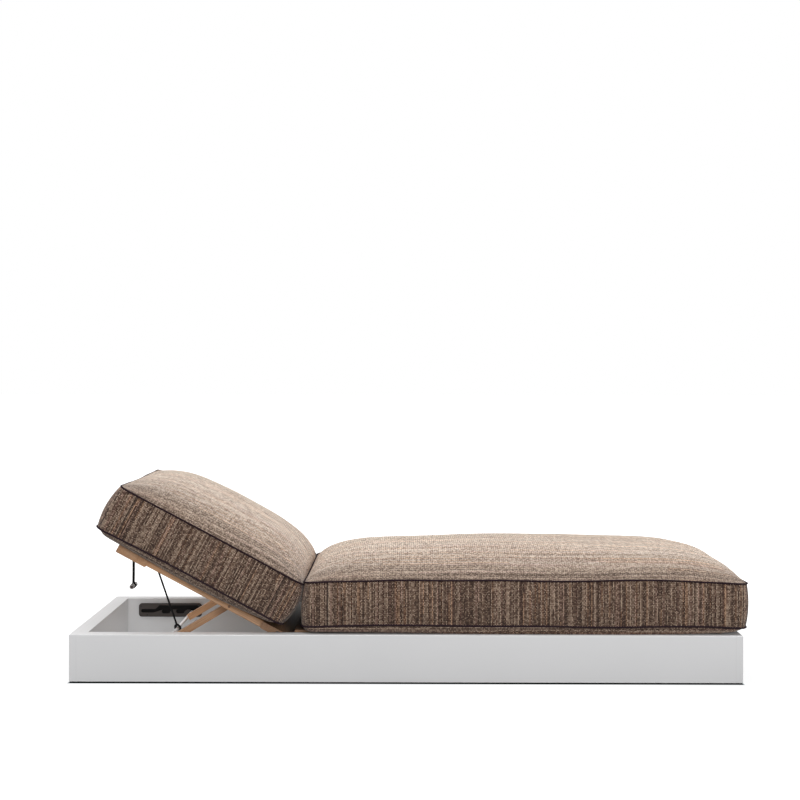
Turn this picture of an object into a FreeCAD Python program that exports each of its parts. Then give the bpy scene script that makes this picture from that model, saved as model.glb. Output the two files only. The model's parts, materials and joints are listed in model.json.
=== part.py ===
import FreeCAD, Part
import math
import os

# Spa relaxation lounger, in millimetres. X runs from the head end (-) to the foot end (+),
# Y from the front (-) to the back (+), Z up from the floor. The pieces are laid out about the
# middle of the plinth and saved about the middle of the whole lounger, cushions included.

V = FreeCAD.Vector
Y_DIR = V(0, 1, 0)
Z_DIR = V(0, 0, 1)
SIDES = {"front": -1, "back": 1}

# Plinth
plinth_length = 2100.0
plinth_width = 800.0
plinth_top = 152.0
floor_gap = 5.0
rim_width = 51.0
end_board = 22.0
panel_edge_radius = 2.5
foot_inset = 15.0
corner_tenon_thickness = 10.0
corner_tenon_height = 77.0
corner_tenon_grip = 30.0

# Teak planks and slats
slat_rise = 6.0
slat_thickness = 22.0
slat_gap = 34.4
slat_count = 6
slat_recess = 10.0
slat_chamfer = 2.0
plank_width = 105.0
plank_end_clearance = 7.0
tenon_length = 20.0
tenon_thickness = 8.0
tenon_shoulder = 11.0

# Seat platform
seat_gap = 7.5
seat_end_clearance = 5.0
ledger_height = 20.0
ledger_depth = 20.0
ledger_let_in = 6.0
brace_width = 60.0
brace_let_in = 8.0

# Backrest, set out flat from its pivot and then raised
back_head_clearance = 22.5
pivot_depth = 13.0
back_angle = 28.2
hinge_plank_overhang = 46.8
back_length = 619.0
head_plank_extra = 4.0
pin_radius = 4.0
pin_grip = 22.0
pin_wall_grip = 18.0
bush_wall = 2.0
bush_flange_wall = 3.0
bush_flange_thickness = 1.5
running_clearance = 0.05

# Pivot brackets on the side walls
bracket_plate = 3.0
bracket_ear = 6.5
bracket_foot_side = 16.0
bracket_head_side = 72.0
bracket_drop = 37.0
bracket_corner_radius = 5.0
landing_length = 52.0
landing_depth = 20.0
landing_clearance = 0.3

# Prop and its notch plates
prop_pivot_setback = 396.9
prop_pivot_depth = 11.0
prop_length = 245.0
arm_width = 30.0
arm_thickness = 21.0
arm_offset = 3.0
rod_seat_depth = 2.0
axle_radius = 4.0
axle_grip = 20.0
rod_radius = 5.5
rod_drop = 31.5
rod_end_clearance = 0.5
plate_length = 226.0
plate_height = 48.0
plate_thickness = 6.0
plate_corner_radius = 11.0
plate_top_clearance = 1.5
plate_beyond_rod = 35.0
groove_depth = 4.5
groove_width = 12.8
groove_end_margin = 8.0
low_run_drop = 26.5
upper_run_drop = 6.5
notch_pitch = 51.5
notch_count = 3
notch_fit = 0.5
notch_width = 30.0
tooth_tip_drop = 22.0
tooth_undercut = 3.5
tooth_slope = 9.0
ramp_length = 34.0
ramp_top_lead = 8.0

# Release line and pull handle
cord_radius = 3.2
cord_end_clearance = 0.5
eyelet_flange_radius = 6.0
eyelet_flange_thickness = 1.2
eyelet_wall = 1.0
eyelet_clearance = 0.05
knot_turn_gap = 0.45
knot_turns = 2
knot_turn_steps = 12
knot_height = 9.2
knot_chamfer = 2.0
cord_sides = 6
strap_width = 20.0
strap_ply = 2.0
strap_thickness = 5.2
strap_groove_clearance = 0.3
strap_hang = 153.0
strap_hinge_gap = 0.4
strap_hinge_radius = 3.2
bar_radius = 6.8
bar_half_length = 34.0
bar_bore_radius = 5.7
bar_cap_depth = 4.0
loop_wall = 1.8

# Cushions
seat_cushion_setback = 87.3
seat_cushion_overhang = 12.0
back_cushion_setback = 3.3
back_cushion_overhang = 75.1
cushion_side_inset = 10.0
cushion_seat_gap = 0.3
skirt_height = 21.0
skirt_inset = 10.0
band_height = 138.0
back_band_height = 145.0
band_bulge = 6.0
crown_rise = 108.0
crown_run = 230.0
crown_power = 2.8
crown_steps = 8
band_steps = 2
cushion_corner_radius = 38.0

# How far in from its corner the middle of a quarter round lies, as a share of its radius
quarter_share = 1 - math.sqrt(0.5)

# Worked out from the sizes above
half_length = plinth_length / 2
half_width = plinth_width / 2
inner_x = half_length - rim_width
inner_y = half_width - rim_width
plank_half = inner_y - plank_end_clearance
slat_width = (2 * (plank_half - slat_recess) - (slat_count - 1) * slat_gap) / slat_count
slat_pitch = slat_width + slat_gap
slat_top = plinth_top + slat_rise
slat_bottom = slat_top - slat_thickness
back_end = back_length - hinge_plank_overhang
pivot_x = back_head_clearance - inner_x + back_end
pivot_z = slat_top - pivot_depth
seat_start = pivot_x + hinge_plank_overhang + seat_gap
seat_end = inner_x - seat_end_clearance
bracket_face = inner_y - bracket_plate
plate_face = inner_y - plate_thickness
arm_y = 2 * slat_pitch
slope = math.radians(back_angle)
prop_pivot_reach = back_end - prop_pivot_setback
eyelet_reach = back_end - plank_width / 2
cushion_half_width = half_width - cushion_side_inset
overhang = seat_cushion_overhang + band_bulge
cut_overrun = 1.0


def box(x0, x1, y0, y1, z0, z1):
    return Part.makeBox(x1 - x0, y1 - y0, z1 - z0, V(x0, y0, z0))


def rod_y(x, z, y0, y1, radius):
    return Part.makeCylinder(radius, y1 - y0, V(x, y0, z), Y_DIR)


def rod_z(x, y, z0, z1, radius):
    return Part.makeCylinder(radius, z1 - z0, V(x, y, z0), Z_DIR)


def line(a, b):
    return Part.LineSegment(a, b).toShape()


def arc(a, middle, b):
    return Part.Arc(a, middle, b).toShape()


def slab_y(edges, y0, y1):
    """A flat plate whose outline lies in an XZ plane at y0."""
    face = Part.Face(Part.Wire(edges))
    return face.extrude(V(0, y1 - y0, 0))


def rounded(shape, radius, chosen):
    """The shape with the edges that chosen picks rounded over."""
    edges = [edge for edge in shape.Edges if chosen(edge.BoundBox)]
    return shape.makeFillet(radius, edges)


def chamfered(shape, size, chosen):
    """The shape with a flat cut along the edges that chosen picks."""
    edges = [edge for edge in shape.Edges if chosen(edge.BoundBox)]
    return shape.makeChamfer(size, edges)


def joined(solids):
    return Part.makeCompound(solids)


def raised(shape):
    """Turns a piece of the flat backrest about the pivot to its raised angle."""
    turned = shape.copy()
    turned.rotate(V(pivot_x, 0, pivot_z), Y_DIR, back_angle)
    return turned


def raised_point(reach, height):
    """Where a point of the backrest lies: reach from the pivot to the head, height over the pins."""
    x = pivot_x - reach * math.cos(slope) + height * math.sin(slope)
    z = pivot_z + reach * math.sin(slope) + height * math.cos(slope)
    return V(x, 0, z)


def save(name, shape):
    """Writes one piece, moved so that the origin lies under the middle of the lounger."""
    moved = shape.copy()
    moved.translate(V(-overhang / 2, 0, 0))
    moved.exportStep("parts/" + name + ".step")


def corner_tenons(end):
    """The loose tenons of one end of the plinth, let into its end board and both side walls."""
    joint = half_length - end_board
    inside = joint - corner_tenon_grip
    outside = joint + end_board / 2
    points = sorted([end * inside, end * outside])
    middle = half_width - rim_width / 2
    bottom = (plinth_top + floor_gap - corner_tenon_height) / 2
    solids = []
    for side in SIDES.values():
        y0 = side * middle - corner_tenon_thickness / 2
        y1 = y0 + corner_tenon_thickness
        solids.append(box(points[0], points[1], y0, y1, bottom, bottom + corner_tenon_height))
    return solids


def plinth_side(side):
    """A painted side wall with its broad top rim, grooved for the ledger and cut for its fixings."""
    outer = side * half_width
    inner = side * inner_y
    joint = half_length - end_board
    wall = box(-joint, joint, min(outer, inner), max(outer, inner), floor_gap, plinth_top)
    wall = rounded(wall, panel_edge_radius, lambda b: b.XLength > joint and b.ZMin > floor_gap)
    return wall.cut(joined([ledger_bar(side)] + pivot_pins() + corner_tenons(-1) + corner_tenons(1)))


def plinth_end(end):
    """A full-width end board with the inner block that carries the rim between the side walls."""
    outer = end * half_length
    joint = end * (half_length - end_board)
    inner = end * inner_x
    board = box(min(outer, joint), max(outer, joint), -half_width, half_width, floor_gap, plinth_top)
    block = box(min(joint, inner), max(joint, inner), -inner_y, inner_y, floor_gap, plinth_top)

    def shows(b):
        at_joint = b.XLength < end_board / 2 and abs(b.XMin - joint) < end_board / 2
        return b.ZMax > plinth_top / 2 and not at_joint

    board = rounded(board, panel_edge_radius, shows)
    return board.fuse(block).removeSplitter().cut(joined(corner_tenons(end)))


def foot_strips():
    """Four dark strips under the plinth, set back from its faces."""
    out_x = half_length - foot_inset
    in_x = inner_x + foot_inset
    out_y = half_width - foot_inset
    in_y = inner_y + foot_inset
    return {
        "foot_strip_front": box(-in_x, in_x, -out_y, -in_y, 0, floor_gap),
        "foot_strip_back": box(-in_x, in_x, in_y, out_y, 0, floor_gap),
        "foot_strip_head": box(-out_x, -in_x, -out_y, out_y, 0, floor_gap),
        "foot_strip_foot": box(in_x, out_x, -out_y, out_y, 0, floor_gap),
    }


def slat_places():
    return [(i - (slat_count - 1) / 2) * slat_pitch for i in range(slat_count)]


def tenon(x0, x1, y, grow):
    """One tenon, or with grow the mortise end that it leaves free."""
    half = slat_width / 2 - tenon_shoulder
    z0 = slat_top - (slat_thickness + tenon_thickness) / 2
    return box(x0 - grow, x1 + grow, y - half, y + half, z0, z0 + tenon_thickness)


def plank(x0, x1, thickness=slat_thickness):
    """A cross plank with chamfered long edges, not yet mortised."""
    body = box(x0, x1, -plank_half, plank_half, slat_top - thickness, slat_top)
    return chamfered(body, slat_chamfer, lambda b: b.YLength > plank_half)


def mortised(body, faces):
    """A plank with a mortise for each slat in each of the faces, given as (x, inward sign)."""
    cuts = []
    for x, inward in faces:
        ends = sorted([x - inward * cut_overrun, x + inward * tenon_length])
        cuts += [tenon(ends[0], ends[1], y, 0) for y in slat_places()]
    return body.cut(joined(cuts))


def slat(x0, x1, y):
    """A lengthwise slat with chamfered long edges and a tenon at each end."""
    half = slat_width / 2
    body = box(x0, x1, y - half, y + half, slat_bottom, slat_top)
    body = chamfered(body, slat_chamfer, lambda b: b.XLength > half)
    return body.fuse(tenon(x0, x1, y, tenon_length)).removeSplitter()


def slats(x0, x1):
    return [slat(x0, x1, y) for y in slat_places()]


def seat_planks():
    """The start of each of the three cross planks of the seat platform."""
    middle = (seat_start + seat_end - plank_width) / 2
    return {"head": seat_start, "middle": middle, "foot": seat_end - plank_width}


def ledger_bar(side):
    """The whole length and depth of a ledger, with what is let into the side wall."""
    points = sorted([side * (inner_y + ledger_let_in), side * (inner_y - ledger_depth)])
    return box(seat_start, seat_end, points[0], points[1], slat_bottom - ledger_height, slat_bottom)


def ledger(side):
    """A bearer along a side wall, under the ends of the planks, housed for the cross brace."""
    return ledger_bar(side).cut(cross_brace())


def cross_brace():
    """The rail under the middle plank that ties the two ledgers together."""
    middle = seat_planks()["middle"] + plank_width / 2
    reach = inner_y - ledger_depth + brace_let_in
    half = brace_width / 2
    return box(middle - half, middle + half, -reach, reach, slat_bottom - ledger_height, slat_bottom)


def back_bounds():
    """X of both ends of the flat backrest: head end first."""
    return pivot_x - back_end, pivot_x + hinge_plank_overhang


def pin_hole(y0, y1, radius):
    return rod_y(pivot_x, pivot_z, y0, y1, radius)


def head_plank():
    """The thicker plank at the head end, with the groove and hole of the release line."""
    head, _ = back_bounds()
    body = mortised(plank(head, head + plank_width, slat_thickness + head_plank_extra), [(head + plank_width, -1)])
    half = strap_width / 2 + strap_groove_clearance
    groove_floor = slat_top - strap_ply - strap_groove_clearance
    eye_x = pivot_x - eyelet_reach
    groove = box(head - cut_overrun, eye_x, -half, half, groove_floor, slat_top + cut_overrun)
    radius = cord_radius + eyelet_clearance + eyelet_wall
    hole = rod_z(eye_x, 0, slat_bottom - head_plank_extra - cut_overrun, slat_top + cut_overrun, radius)
    well = rod_z(eye_x, 0, groove_floor, slat_top + cut_overrun, half)
    return body.cut(joined([groove, hole, well]))


def hinge_plank():
    """The plank over the pivot, drilled at both ends for the bushes."""
    _, end = back_bounds()
    body = mortised(plank(end - plank_width, end), [(end - plank_width, 1)])
    radius = pin_radius + running_clearance + bush_wall
    depth = plank_half - pin_grip
    holes = [pin_hole(-plank_half - cut_overrun, -depth, radius), pin_hole(depth, plank_half + cut_overrun, radius)]
    return body.cut(joined(holes))


def back_slats():
    """The backrest's slats, drilled where the prop's axles enter them."""
    head, end = back_bounds()
    solids = slats(head + plank_width, end - plank_width)
    return [solid.cut(joined(prop_axles())) for solid in solids]


def bushes():
    """A flanged bush in each end of the hinge plank."""
    solids = []
    for side in SIDES.values():
        bore = pin_radius + running_clearance
        outer = bore + bush_wall
        barrel = sorted([side * (plank_half - pin_grip), side * plank_half])
        flange = sorted([side * plank_half, side * (plank_half + bush_flange_thickness)])
        body = pin_hole(barrel[0], barrel[1], outer)
        body = body.fuse(pin_hole(flange[0], flange[1], outer + bush_flange_wall)).removeSplitter()
        whole = sorted([side * (plank_half - pin_grip), side * (plank_half + bush_flange_thickness)])
        solids.append(body.cut(pin_hole(whole[0] - cut_overrun, whole[1] + cut_overrun, bore)))
    return solids


def pivot_pins():
    """The pins that stand in the brackets and the side walls and carry the backrest."""
    inner = plank_half - pin_grip + cut_overrun
    spans = [sorted([side * inner, side * (inner_y + pin_wall_grip)]) for side in SIDES.values()]
    return [pin_hole(span[0], span[1], pin_radius) for span in spans]


def bracket(side):
    """A steel bracket on a side wall: an ear for the pin and a ledge that the flat backrest lands on."""
    x0 = pivot_x - bracket_head_side
    x1 = pivot_x + bracket_foot_side
    ends = sorted([side * bracket_face, side * inner_y])
    plate = box(x0, x1, ends[0], ends[1], pivot_z - bracket_drop, pivot_z + bracket_ear)
    plate = rounded(plate, bracket_corner_radius, lambda b: b.YLength > 0 and b.XLength == 0 and b.ZLength == 0)
    top = slat_bottom - landing_clearance
    reach = sorted([side * bracket_face, side * (bracket_face - landing_depth)])
    ledge = box(x0, x0 + landing_length, reach[0], reach[1], top - bracket_plate, top)
    body = plate.fuse(ledge).removeSplitter()
    return body.cut(joined(pivot_pins()))


def prop_axles():
    """Two short axles across the gaps that the prop's arms lie in, with the backrest flat."""
    x = pivot_x - prop_pivot_reach
    z = slat_top - prop_pivot_depth
    reach = slat_gap / 2 + axle_grip
    return [rod_y(x, z, side * arm_y - reach, side * arm_y + reach, axle_radius) for side in SIDES.values()]


def prop_points():
    """The prop's pivot and the centre of its cross rod, with the backrest raised."""
    top = raised_point(prop_pivot_reach, pivot_depth - prop_pivot_depth)
    rise = top.z - (slat_bottom - rod_drop)
    run = math.sqrt(prop_length ** 2 - rise ** 2)
    return top, top - V(run, 0, rise)


def prop_arm(side):
    """A teak arm, round over its axle and cut square at its foot, with a seat there for the cross rod."""
    top, low = prop_points()
    y0 = side * arm_y - arm_width / 2
    along = (top - low).normalize()
    across = V(-along.z, 0, along.x)
    middle = V(0, y0, 0) - across * arm_offset
    half = across * (arm_thickness / 2)
    foot = low + middle + along * (rod_radius - rod_seat_depth)
    nose = top + middle
    edges = [
        line(foot + half, nose + half),
        arc(nose + half, nose + along * (arm_thickness / 2), nose - half),
        line(nose - half, foot - half),
        line(foot - half, foot + half),
    ]
    arm = slab_y(edges, y0, y0 + arm_width)
    bore = rod_y(top.x, top.z, y0 - cut_overrun, y0 + arm_width + cut_overrun, axle_radius + running_clearance)
    seat = rod_y(low.x, low.z, y0 - cut_overrun, y0 + arm_width + cut_overrun, rod_radius)
    return arm.cut(bore.fuse(seat))


def prop_rod():
    """The polished cross rod whose ends stop just short of the notch plates."""
    _, low = prop_points()
    reach = plate_face - rod_end_clearance
    return rod_y(low.x, low.z, -reach, reach, rod_radius)


def notch_outline(y):
    """The groove's edges: a low run, a ramp, then an upper run over three hooked notches."""
    _, low = prop_points()
    top = slat_bottom - plate_top_clearance
    right = low.x + plate_beyond_rod
    left = right - plate_length
    half = groove_width / 2
    run = top - low_run_drop
    roof = top - upper_run_drop
    tip = top - tooth_tip_drop
    floor = low.z - rod_radius - notch_fit
    hollow = (floor + tip) / 2
    first = low.x - rod_radius - notch_fit - (notch_count - 1) * notch_pitch
    end = left + groove_end_margin + half
    ramp = first - ramp_length + tooth_undercut
    round_off = notch_width / 4

    def at(x, z):
        return V(x, y, z)

    edges = [arc(at(end, run + half), at(end - half, run), at(end, run - half))]
    edges.append(line(at(end, run - half), at(ramp, run - half)))
    here = at(ramp, run - half)
    for k in range(notch_count):
        wall = first + k * notch_pitch
        tooth = at(wall + tooth_undercut, tip)
        low_left = at(wall + round_off, floor)
        low_right = at(wall + notch_width - round_off, floor)
        edges.append(line(here, tooth))
        edges.append(arc(tooth, at(wall, hollow), low_left))
        edges.append(line(low_left, low_right))
        side = at(wall + notch_width, hollow)
        bend = round_off * quarter_share
        knee = at(wall + notch_width - bend, floor + bend)
        edges.append(arc(low_right, knee, side))
        here = side
        if k < notch_count - 1:
            crest = at(wall + notch_width + tooth_slope, tip)
            edges.append(line(side, crest))
            here = crest
    shoulder = at(here.x, roof - half)
    turn = at(here.x - half * quarter_share, roof - half * quarter_share)
    roof_end = at(here.x - half, roof)
    ramp_top = at(first - ramp_top_lead, roof)
    ramp_foot = at(ramp_top.x - (roof - run - half), run + half)
    edges.append(line(here, shoulder))
    edges.append(arc(shoulder, turn, roof_end))
    edges.append(line(roof_end, ramp_top))
    edges.append(line(ramp_top, ramp_foot))
    edges.append(line(ramp_foot, at(end, run + half)))
    return edges


def notch_plate(side):
    """A dark moulded plate on a side wall, with the groove that guides the prop's rod."""
    _, low = prop_points()
    top = slat_bottom - plate_top_clearance
    right = low.x + plate_beyond_rod
    ends = sorted([side * plate_face, side * inner_y])
    plate = box(right - plate_length, right, ends[0], ends[1], top - plate_height, top)
    plate = rounded(plate, plate_corner_radius, lambda b: b.XLength == 0 and b.ZLength == 0)
    start, stop = sorted([side * (plate_face - cut_overrun), side * (plate_face + groove_depth)])
    return plate.cut(slab_y(notch_outline(start), start, stop))


def line_ends():
    """Where the release cord leaves the eyelet and where it meets the knot on the rod."""
    _, low = prop_points()
    under = pivot_depth - slat_thickness - head_plank_extra - eyelet_flange_thickness
    upper = raised_point(eyelet_reach, under)
    run = (upper - low).normalize()
    lower = low + run * (rod_radius + cord_radius + knot_height / 2)
    return upper, lower, run


def release_cord():
    """The tight cord from the head plank down to the prop's rod, cut parallel to the plank."""
    upper, lower, run = line_ends()
    cord = Part.makeCylinder(cord_radius, (upper - lower).Length + cord_end_clearance + slat_thickness, lower, run)
    under = slat_bottom - head_plank_extra - eyelet_flange_thickness - cord_end_clearance
    x = pivot_x - eyelet_reach
    reach = plank_width / 2
    beyond = raised(box(x - reach, x + reach, -reach, reach, under, under + plank_width))
    return cord.cut(beyond)


def faceted_tube(sections):
    """A closed solid of flat triangles through sections of equally many corners."""
    faces = [sections[0], sections[-1]]
    for near, far in zip(sections, sections[1:]):
        for k in range(len(near)):
            after = (k + 1) % len(near)
            faces += [[near[k], near[after], far[after]], [near[k], far[after], far[k]]]
    shell = Part.Shell([Part.Face(Part.makePolygon(face + face[:1])) for face in faces])
    return Part.Solid(shell)


def knot_winding():
    """Two turns of cord round the rod, as one faceted tube."""
    _, low = prop_points()
    _, _, run = line_ends()
    across = V(run.z, 0, -run.x)
    pitch = 2 * cord_radius + knot_turn_gap
    radius = rod_radius / math.cos(math.pi / knot_turn_steps) + cord_radius
    sections = []
    for i in range(knot_turns * knot_turn_steps + 1):
        angle = 2 * math.pi * i / knot_turn_steps
        out = run * math.cos(angle) + across * math.sin(angle)
        centre = low + out * radius + Y_DIR * (pitch * (i / knot_turn_steps - knot_turns / 2))
        corners = []
        for k in range(cord_sides):
            turn = 2 * math.pi * k / cord_sides
            corners.append(centre + out * (cord_radius * math.cos(turn)) + Y_DIR * (cord_radius * math.sin(turn)))
        sections.append(corners)
    return faceted_tube(sections)


def cord_knot():
    """The hitch on the rod: its turns, and the knot over them that the cord leaves from."""
    _, low = prop_points()
    _, lower, run = line_ends()
    across = V(run.z, 0, -run.x)
    half = knot_height / 2
    half_width_y = 2 * cord_radius + knot_turn_gap + cord_radius
    top = (lower - low).Length

    def section(distance, inset):
        centre = low + run * distance
        a = across * (half - inset)
        b = Y_DIR * (half_width_y - inset)
        corners = [centre - a - b, centre + a - b, centre + a + b, centre - a + b]
        return Part.makePolygon(corners + corners[:1])

    start = rod_radius + rod_end_clearance
    places = [(start, 0), (top - knot_chamfer, 0), (top, knot_chamfer)]
    head = Part.makeLoft([section(distance, inset) for distance, inset in places], True, True)
    return head.fuse(knot_winding())


def cord_eyelet():
    """A steel eyelet through the head plank, flanged underneath."""
    x = pivot_x - eyelet_reach
    bottom = slat_bottom - head_plank_extra
    top = slat_top - strap_ply - strap_groove_clearance
    bore = cord_radius + eyelet_clearance
    barrel = rod_z(x, 0, bottom - eyelet_flange_thickness, top, bore + eyelet_wall)
    flange = rod_z(x, 0, bottom - eyelet_flange_thickness, bottom, eyelet_flange_radius)
    body = barrel.fuse(flange).removeSplitter()
    overrun = cut_overrun + eyelet_flange_thickness
    return raised(body.cut(rod_z(x, 0, bottom - overrun, top + cut_overrun, bore)))


def strap_run():
    """The flat webbing that carries the cord's pull over the head plank and down its end."""
    head, _ = back_bounds()
    x = pivot_x - eyelet_reach
    half = strap_width / 2
    floor = slat_top - strap_ply - strap_groove_clearance
    bottom = slat_bottom - head_plank_extra
    over = box(head - strap_ply, x, -half, half, floor, floor + strap_ply)
    down = box(head - strap_ply, head, -half, half, bottom, floor + strap_ply)
    tail = rod_z(x, 0, floor, floor + strap_ply, half)
    return raised(over.fuse([down, tail]).removeSplitter())


def strap_hinge():
    """The line that the hanging strap swings about, just under the end of the plank."""
    end_height = pivot_depth - slat_thickness - head_plank_extra
    corner = raised_point(back_end + strap_ply, end_height)
    return V(corner.x - strap_hinge_radius / 2, 0, corner.z - strap_hinge_radius - strap_hinge_gap)


def pull_strap():
    """The folded strap that hangs from the head plank, looped round the bar at its foot."""
    hinge = strap_hinge()
    half = strap_width / 2
    bar_z = hinge.z - strap_hang
    loop = bar_radius + loop_wall
    band = box(hinge.x - strap_thickness / 2, hinge.x + strap_thickness / 2, -half, half, bar_z, hinge.z)
    fold = rod_y(hinge.x, hinge.z, -half, half, strap_hinge_radius)
    ring = rod_y(hinge.x, bar_z, -half, half, loop)
    whole = band.fuse([fold, ring]).removeSplitter()
    return whole.cut(rod_y(hinge.x, bar_z, -plinth_width, plinth_width, bar_radius))


def bar_tube():
    """The polished tube of the pull handle, hollow at its ends for the dark caps."""
    hinge = strap_hinge()
    z = hinge.z - strap_hang
    tube = rod_y(hinge.x, z, -bar_half_length, bar_half_length, bar_radius)
    return tube.cut(joined(bar_caps()))


def bar_caps():
    hinge = strap_hinge()
    z = hinge.z - strap_hang
    spans = [sorted([side * (bar_half_length - bar_cap_depth), side * bar_half_length]) for side in SIDES.values()]
    return [rod_y(hinge.x, z, span[0], span[1], bar_bore_radius) for span in spans]


def ring_wire(x0, x1, half, radius, z):
    """A flat outline with straight sides and quarter-round corners."""
    short = radius * quarter_share

    def at(x, y):
        return V(x, y, z)

    return Part.Wire([
        line(at(x0 + radius, -half), at(x1 - radius, -half)),
        arc(at(x1 - radius, -half), at(x1 - short, -half + short), at(x1, -half + radius)),
        line(at(x1, -half + radius), at(x1, half - radius)),
        arc(at(x1, half - radius), at(x1 - short, half - short), at(x1 - radius, half)),
        line(at(x1 - radius, half), at(x0 + radius, half)),
        arc(at(x0 + radius, half), at(x0 + short, half - short), at(x0, half - radius)),
        line(at(x0, half - radius), at(x0, -half + radius)),
        arc(at(x0, -half + radius), at(x0 + short, -half + short), at(x0 + radius, -half)),
    ])


def cushion(x0, x1, base, band):
    """A boxed cushion: a drawn-in foot, a slightly full band between its seams, and a deep crown."""
    low_seam = base + skirt_height
    high_seam = low_seam + band

    def section(inset, z):
        return ring_wire(x0 + inset, x1 - inset, cushion_half_width - inset, cushion_corner_radius, z)

    def band_section(i):
        share = i / band_steps
        return section(-band_bulge * math.sin(math.pi * share), low_seam + band * share)

    def crown_section(i):
        share = i / crown_steps
        rise = crown_rise * (1 - (1 - share) ** crown_power)
        return section(crown_run * share, high_seam + rise)

    wires = [section(skirt_inset, base)]
    wires += [band_section(i) for i in range(band_steps + 1)]
    wires += [crown_section(i) for i in range(1, crown_steps + 1)]
    return Part.makeLoft(wires, True, True)


def seat_cushion():
    start = pivot_x + seat_cushion_setback
    return cushion(start, half_length + seat_cushion_overhang, slat_top + cushion_seat_gap, band_height)


def back_cushion():
    """The back cushion, made flat on the backrest and raised with it."""
    start = pivot_x - back_end - back_cushion_overhang
    flat = cushion(start, pivot_x - back_cushion_setback, slat_top + cushion_seat_gap, back_band_height)
    return raised(flat)


def main():
    os.makedirs("parts", exist_ok=True)
    for name, side in SIDES.items():
        save("plinth_side_" + name, plinth_side(side))
        save("seat_ledger_" + name, ledger(side))
        save("pivot_bracket_" + name, bracket(side))
        save("notch_plate_" + name, notch_plate(side))
        save("prop_arm_" + name, prop_arm(side))
    save("plinth_head", plinth_end(-1))
    save("plinth_foot", plinth_end(1))
    save("corner_tenons", joined(corner_tenons(-1) + corner_tenons(1)))
    for name, strip in foot_strips().items():
        save(name, strip)

    starts = seat_planks()
    faces = {"head": [(starts["head"] + plank_width, -1)], "foot": [(starts["foot"], 1)]}
    faces["middle"] = [(starts["middle"], 1), (starts["middle"] + plank_width, -1)]
    for name, x in starts.items():
        save("seat_plank_" + name, mortised(plank(x, x + plank_width), faces[name]))
    save("seat_slats_head", joined(slats(starts["head"] + plank_width, starts["middle"])))
    save("seat_slats_foot", joined(slats(starts["middle"] + plank_width, starts["foot"])))
    save("cross_brace", cross_brace())
    save("seat_cushion", seat_cushion())

    save("pivot_pins", joined(pivot_pins()))
    save("pivot_bushes", raised(joined(bushes())))
    save("head_plank", raised(head_plank()))
    save("hinge_plank", raised(hinge_plank()))
    save("back_slats", raised(joined(back_slats())))
    save("prop_axles", raised(joined(prop_axles())))
    save("back_cushion", back_cushion())

    save("prop_rod", prop_rod())
    save("cord_eyelet", cord_eyelet())
    save("release_cord", release_cord())
    save("cord_knot", cord_knot())
    save("strap_run", strap_run())
    save("pull_strap", pull_strap())
    save("pull_bar", bar_tube())
    save("bar_caps", joined(bar_caps()))

    top, low = prop_points()
    print("pivot", round(pivot_x, 1), round(pivot_z, 1), "slat width", round(slat_width, 2))
    print("prop pivot", round(top.x, 1), round(top.z, 1), "rod", round(low.x, 1), round(low.z, 1))
    print("strap hinge", round(strap_hinge().x, 1), round(strap_hinge().z, 1))
    print("gap between the knot's turns", knot_turn_gap)
    print("shift to the saved origin", -overhang / 2)


main()
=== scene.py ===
import bpy
import itertools
import json
import math
import numpy as np
from mathutils import Matrix, Vector

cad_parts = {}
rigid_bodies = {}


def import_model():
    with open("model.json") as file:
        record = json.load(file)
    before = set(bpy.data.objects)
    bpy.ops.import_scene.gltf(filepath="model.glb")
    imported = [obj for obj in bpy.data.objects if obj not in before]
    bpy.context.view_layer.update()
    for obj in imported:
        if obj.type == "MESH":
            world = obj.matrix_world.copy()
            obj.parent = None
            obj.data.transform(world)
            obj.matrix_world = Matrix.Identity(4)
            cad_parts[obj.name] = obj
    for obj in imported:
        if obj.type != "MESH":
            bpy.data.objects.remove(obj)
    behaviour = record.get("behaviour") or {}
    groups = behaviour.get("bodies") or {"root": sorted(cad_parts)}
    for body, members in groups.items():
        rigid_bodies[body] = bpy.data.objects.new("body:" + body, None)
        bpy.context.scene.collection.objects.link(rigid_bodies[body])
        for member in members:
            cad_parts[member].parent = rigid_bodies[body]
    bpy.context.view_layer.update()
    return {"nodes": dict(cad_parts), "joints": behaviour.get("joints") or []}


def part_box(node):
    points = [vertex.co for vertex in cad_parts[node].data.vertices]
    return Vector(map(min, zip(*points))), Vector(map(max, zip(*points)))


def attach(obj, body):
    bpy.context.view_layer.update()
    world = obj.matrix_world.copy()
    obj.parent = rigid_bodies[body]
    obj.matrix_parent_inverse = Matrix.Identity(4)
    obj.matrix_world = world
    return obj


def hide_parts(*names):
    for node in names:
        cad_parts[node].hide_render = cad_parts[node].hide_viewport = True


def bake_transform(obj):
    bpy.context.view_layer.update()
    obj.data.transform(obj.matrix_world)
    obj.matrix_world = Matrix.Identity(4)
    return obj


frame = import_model()
for thing in bpy.context.scene.objects:
    thing.select_set(False)

# Spa relaxation lounger, in metres. X runs from the head end (-) to the foot end (+), Y from the
# front (-) to the back (+), Z up from the floor.

JOINTS = {joint["name"]: joint for joint in frame["joints"]}
PIVOT = Vector(JOINTS["backrest_hinge"]["pos_m"])
RAISED = -math.radians(JOINTS["backrest_hinge"]["range_deg"][0])
PROP_PIVOT = Vector(JOINTS["prop_hinge"]["pos_m"])


# Small helpers

def raise_up(points):
    """Turns points of the flat backrest about its pivot to the raised angle."""
    turn = np.array(Matrix.Rotation(RAISED, 3, "Y"))
    pivot = np.array(PIVOT)
    return (np.asarray(points, float) - pivot) @ turn.T + pivot


def new_object(name, points, faces):
    mesh = bpy.data.meshes.new(name)
    mesh.from_pydata([tuple(p) for p in points], [], [tuple(int(i) for i in f) for f in faces])
    made = bpy.data.objects.new(name, mesh)
    bpy.context.scene.collection.objects.link(made)
    return made


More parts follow.
